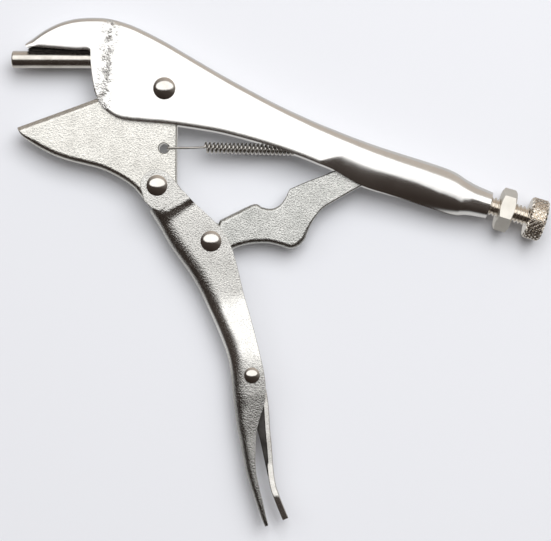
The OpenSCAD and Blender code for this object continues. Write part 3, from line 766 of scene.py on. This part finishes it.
def make_rivet(node, body, at, pin, w, head, height):
    """Domed heads on both faces, each a cap of a sphere on a low rim, and a plain pin."""
    rim = 0.16
    cap = height - rim
    sphere = (head ** 2 + cap ** 2) / (2 * cap)
    slope = math.asin(head / sphere)
    dome = [(w, pin), (w, head * 0.985), (w + 0.04, head), (w + rim * 0.8, head)]
    for i in range(13):
        t = slope * (1 - i / 12)
        dome.append((w + rim + sphere * (math.cos(t) - math.cos(slope)), sphere * math.sin(t)))
    dome[-1] = (w + height, 0)
    profile = [(-z, r) for z, r in reversed(dome)] + dome
    mesh = turned_mesh(node + "_domed", profile, 64, place(*at), (0, 0, 1))
    finish_mesh(node + "_domed", mesh, body, node, RIVET_NICKEL, 50)


def make_rod():
    low, high = place(-52.0, 10.35), place(-20.2, 10.3)
    long = (high - low).length / MM
    end = [(0, 0), (0, ROD_R - 0.7)]
    end += [(0.7 - 0.7 * math.cos(math.radians(a)), ROD_R - 0.7 + 0.7 * math.sin(math.radians(a)))
            for a in range(15, 91, 15)]
    end += [(long * i / 8, ROD_R) for i in range(1, 9)] + [(long, 0)]
    mesh = turned_mesh("jaw_bar", end, 64, low, high - low)
    finish_mesh("jaw_bar", mesh, "upper_body", "jaw_rod", ROD_NICKEL)


def make_weld():
    """A filler between bar and nose, with a rough bead run along each side of it. Its near-black
    finish is partly painted shade of the groove between nose and bar.
    """
    core = [(-46, 12.2), (-21, 12), (-21, 14), (-32, 14.4), (-41, 14.7), (-44.5, 14.5),
            (-46, 13.9)]
    mesh = outline_mesh("weld_core", core, [], 2.5, 0.2)
    finish_mesh("weld_core", mesh, "upper_body", "rod_weld", WELD_WITH_PAINTED_SHADE)
    start, end = Vector((-46.4, 13.3, 2.3)), Vector((-21, 12.5, 2.3))
    for name, side in (("weld_bead_near", 1), ("weld_bead_far", -1)):
        rings, count = [], 90
        for i in range(count + 1):
            f = i / count
            c = start.lerp(end, f)
            fade = min(1, 3.2 * math.sqrt(min(f, 1 - f) + 0.004))
            ring = []
            for j in range(14):
                t = 2 * math.pi * j / 14
                p = Vector((c.x * 1.1, math.cos(t) * 1.7, math.sin(t) * 1.7 + 9 * side))
                r = fade * (0.62 + 0.42 * noise.noise(p) + 0.2 * noise.noise(p * 3.1))
                ring.append(place(c.x, c.y + r * math.cos(t),
                                  side * (c.z + 1.15 * r * math.sin(t))))
            rings.append(ring)
        finish_mesh(name, grid_mesh(name, rings), "upper_body", None, WELD_WITH_PAINTED_SHADE, 80)


def screw_frame():
    origin = place(*KNOB_AT)
    return origin, out_of_neck, Vector((0, 0, 1)), out_of_neck.cross(Vector((0, 0, 1)))


def make_screw():
    origin, axis, u, v = screw_frame()
    tip, thread_from, root, sides, per_turn = -53.2, -33.0, SCREW_R - 0.62, 48, 14
    rings = []
    count = int((KNOB_HALF - thread_from) / PITCH * per_turn)
    places = [tip, tip + 0.6, thread_from - 0.2]
    places += [thread_from + (KNOB_HALF - thread_from) * i / count for i in range(count + 1)]
    for z in places:
        ring = []
        for i in range(sides):
            t = 2 * math.pi * i / sides
            phase = (z / PITCH - i / sides) % 1.0
            tooth = min(1.0, max(0.0, 1.25 - abs(phase - 0.5) * 3.1))
            r = root + (SCREW_R - root) * tooth
            if z <= thread_from:
                r = root if z > tip else root - 0.5
            ring.append(origin + (axis * z + (u * math.cos(t) + v * math.sin(t)) * r) * MM)
        rings.append(ring)
    mesh = grid_mesh("screw_thread", rings)
    finish_mesh("screw_thread", mesh, "adjusting_screw", "adjusting_screw", WARM_NICKEL, 60)


def make_knob():
    origin, axis, u, v = screw_frame()
    sides, rows, teeth = 480, 64, 22
    deep, chamfer = 0.6, 0.6
    lead = 2 * math.pi * KNOB_R / teeth
    rings = []
    profile = [(-KNOB_HALF, SCREW_R + GAP), (-KNOB_HALF, KNOB_R - chamfer - 0.95)]
    profile += [(-KNOB_HALF + 2 * KNOB_HALF * i / rows, None) for i in range(rows + 1)]
    profile += [(KNOB_HALF, KNOB_R - chamfer - 0.95), (KNOB_HALF, SCREW_R + GAP)]
    for z, r0 in profile:
        ring = []
        for i in range(sides):
            t = 2 * math.pi * i / sides
            r = r0
            if r is None:
                a = (t * teeth / (2 * math.pi) + z / lead) % 1.0
                b = (t * teeth / (2 * math.pi) - z / lead) % 1.0
                crest = min(1, 2 * min(abs(a - 0.5), abs(b - 0.5)) / 0.5)
                rim = max(abs(z) - (KNOB_HALF - chamfer), 0)
                r = KNOB_R - rim - deep * (1 - crest) * (1 if rim == 0 else 0.6)
            ring.append(origin + (axis * z + (u * math.cos(t) + v * math.sin(t)) * r) * MM)
        rings.append(ring)
    rings.append(rings[0])
    bm = bmesh.new()
    verts = [[bm.verts.new(p) for p in ring] for ring in rings[:-1]]
    verts.append(verts[0])
    for a, b in zip(verts, verts[1:]):
        for i in range(sides):
            bm.faces.new((a[i], a[(i + 1) % sides], b[(i + 1) % sides], b[i]))
    bmesh.ops.recalc_face_normals(bm, faces=bm.faces)
    mesh = bpy.data.meshes.new("knob_knurl")
    bm.to_mesh(mesh)
    bm.free()
    finish_mesh("knob_knurl", mesh, "knurled_knob", "knurled_knob", WARM_NICKEL, 28)


def paint(node, material, width=None):
    """Gives a CAD node its finish, and softens its edges."""
    obj = frame["nodes"][node]
    for i in range(len(obj.material_slots)):
        obj.material_slots[i].material = material
    if width:
        round_edges(obj, width, 25)


# ---- spring ----------------------------------------------------------------

def make_spring():
    """One wire: a hook in the jaw's hole, a straight leg, the coil, and a tail to the tab."""
    wire_r, coil_r, turns, per_turn, wire_sides = 0.4, 1.6, 22, 24, 10
    a, b = Vector((13.6, -19.7, 1.25)), Vector((43.6, -20.5, 0.35))
    ax = (b - a).normalized()
    side = Vector((-ax.y, ax.x, 0)).normalized()
    up = ax.cross(side)
    face = JAW_HALF + wire_r + 0.06
    grip = SPRING_HOLE[0] + 1.75 - wire_r - GAP
    hy = SPRING_HOLE[1]
    hook = smooth([(grip, hy, -JAW_HALF - 0.9), (grip, hy, face - 0.9),
                   (grip + 0.25, hy, face - 0.25), (grip + 0.9, hy, face),
                   (a.x - 4, hy + 0.1, face)], 6)
    steps = turns * per_turn
    coil = []
    for i in range(steps + 1):
        f = i / steps
        w = 2 * math.pi * turns * f
        coil.append(tuple(a + (b - a) * f + (up * math.cos(w) + side * math.sin(w)) * coil_r))
    tail = smooth([coil[-1], (b.x + 1.4, b.y + 0.5, coil_r * 0.9 + 0.2),
                   (49.3, -19.5, coil_r * 0.8), (50.2, -19.2, coil_r * 0.5),
                   (50.5, -19.2, 0.4), (50.5, -19.2, -1.6)], 6)[1:]
    line = hook + smooth([hook[-1], coil[0]], 4)[1:-1] + coil + tail
    points = [Vector(p) for p in line]
    rings, normal = [], Vector((0, 1, 0))
    for i, p in enumerate(points):
        t = (points[min(i + 1, len(points) - 1)] - points[max(i - 1, 0)]).normalized()
        normal = (normal - t * normal.dot(t)).normalized()
        other = t.cross(normal)
        rings.append([place(*(p + (normal * math.cos(q) + other * math.sin(q)) * wire_r))
                      for q in (2 * math.pi * j / wire_sides for j in range(wire_sides))])
    mesh = grid_mesh("spring_wire", rings)
    mesh.shade_smooth()
    obj = bpy.data.objects.new("spring_wire", mesh)
    bpy.context.collection.objects.link(obj)
    mesh.materials.append(SPRING_STEEL)
    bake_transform(obj)
    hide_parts("tension_spring")


make_upper_handle()
make_lower_handle()
make_lower_jaw()
make_toggle_link()
make_release_lever()
make_rivet("main_rivet", "upper_body", (0, 0), 2.5, MAIN_W, 3.75, 1.4)
make_rivet("jaw_rivet", "lower_handle", JAW_PIN, 2.3, LUG_W, 3.55, 1.4)
make_rivet("link_rivet", "lower_handle", LINK_PIN, 2.3, LINK_W, 3.55, 1.4)
make_rivet("release_rivet", "lower_handle", LEVER_PIN, 1.5, GRIP_W, 2.7, 1.2)
make_rod()
make_weld()
make_screw()
make_knob()
make_spring()
paint("lock_nut", NUT_NICKEL, 0.25)


# ---- stage -----------------------------------------------------------------

def make_floor():
    bpy.ops.mesh.primitive_plane_add(size=4, location=(0, 0, 0))
    floor = bpy.context.object
    floor.name = "floor"
    mat = bpy.data.materials.new("pale_floor")
    mat.use_nodes = True
    shader = mat.node_tree.nodes["Principled BSDF"]
    shader.inputs["Base Color"].default_value = (0.77, 0.785, 0.83, 1)
    shader.inputs["Roughness"].default_value = 0.9
    shader.inputs["Specular IOR Level"].default_value = 0.1
    floor.data.materials.append(mat)
    floor.visible_glossy = False   # the nickel mirrors the room, not the floor


BOX_LEAN = math.radians(23)


def make_world():
    """A softbox overhead, leaning to the spine side, in a room that is dark on the tail side."""
    world = bpy.data.worlds.new("room")
    bpy.context.scene.world = world
    world.use_nodes = True
    nodes, links = world.node_tree.nodes, world.node_tree.links
    back = nodes["Background"]
    at = nodes.new("ShaderNodeTexCoord")

    def toward(direction, squeeze, stops):
        """Brightness by the angle from a direction: stops are (cosine, colour).

        A squeeze below one makes the bright patch wide along X."""
        narrow = nodes.new("ShaderNodeVectorMath")
        narrow.operation = "MULTIPLY"
        narrow.inputs[1].default_value = (squeeze, 1, 1)
        links.new(at.outputs["Generated"], narrow.inputs[0])
        unit = nodes.new("ShaderNodeVectorMath")
        unit.operation = "NORMALIZE"
        links.new(narrow.outputs["Vector"], unit.inputs[0])
        dot = nodes.new("ShaderNodeVectorMath")
        dot.operation = "DOT_PRODUCT"
        dot.inputs[1].default_value = Vector(direction).normalized()
        links.new(unit.outputs["Vector"], dot.inputs[0])
        lift = nodes.new("ShaderNodeMapRange")
        lift.inputs["From Min"].default_value = -1
        lift.inputs["From Max"].default_value = 1
        links.new(dot.outputs["Value"], lift.inputs["Value"])
        ramp = nodes.new("ShaderNodeValToRGB")
        elements = ramp.color_ramp.elements
        while len(elements) < len(stops):
            elements.new(0.5)
        for stop, (cosine, colour) in zip(elements, stops):
            stop.position = (cosine + 1) / 2
            stop.color = (*colour, 1)
        links.new(lift.outputs["Result"], ramp.inputs["Fac"])
        return ramp.outputs["Color"]

    dark, warm, white = (0.024, 0.018, 0.015), (0.40, 0.355, 0.315), (1.0, 0.99, 0.975)
    room = toward((0.35, 0.94, 0.0), 1, ((-0.9, dark), (-0.1, (0.05, 0.041, 0.036)),
                                         (0.35, (0.16, 0.147, 0.135)), (0.9, warm)))
    ground = toward((0, 0, -1), 1, ((0.0, (0, 0, 0)), (0.35, (0.42, 0.415, 0.41))))
    box = toward((0, math.sin(BOX_LEAN), math.cos(BOX_LEAN)), 0.42,
                 ((math.cos(math.radians(33)), (0, 0, 0)),
                  (math.cos(math.radians(26)), white)))
    lit = room
    for other in (ground, box):
        both = nodes.new("ShaderNodeMix")
        both.data_type = "RGBA"
        both.blend_type = "LIGHTEN"
        both.inputs["Factor"].default_value = 1
        links.new(lit, both.inputs["A"])
        links.new(other, both.inputs["B"])
        lit = both.outputs["Result"]
    links.new(lit, back.inputs["Color"])
    back.inputs["Strength"].default_value = 1.34


def area(name, location, size, power, target=(0, 0, 0)):
    data = bpy.data.lights.new(name, "AREA")
    data.size = size
    data.energy = power
    light = bpy.data.objects.new(name, data)
    bpy.context.collection.objects.link(light)
    light.visible_glossy = False
    light.location = location
    light.rotation_euler = (Vector(target) - Vector(location)).to_track_quat("-Z", "Y").to_euler()


def make_camera():
    data = bpy.data.cameras.new("camera")
    camera = bpy.data.objects.new("camera", data)
    bpy.context.collection.objects.link(camera)
    height = 0.62
    view_width = 0.1873
    data.sensor_width = 36
    data.lens = 36 * (height - pivot.z) / view_width
    camera.location = (pivot.x + 0.0375, pivot.y - 0.0614, height)
    camera.rotation_euler = (0, 0, 0)
    bpy.context.scene.camera = camera


make_floor()
make_world()
area("window", (0.25, 0.55, 1.1), 0.9, 11.0)
make_camera()
bpy.context.scene.view_settings.view_transform = "Standard"
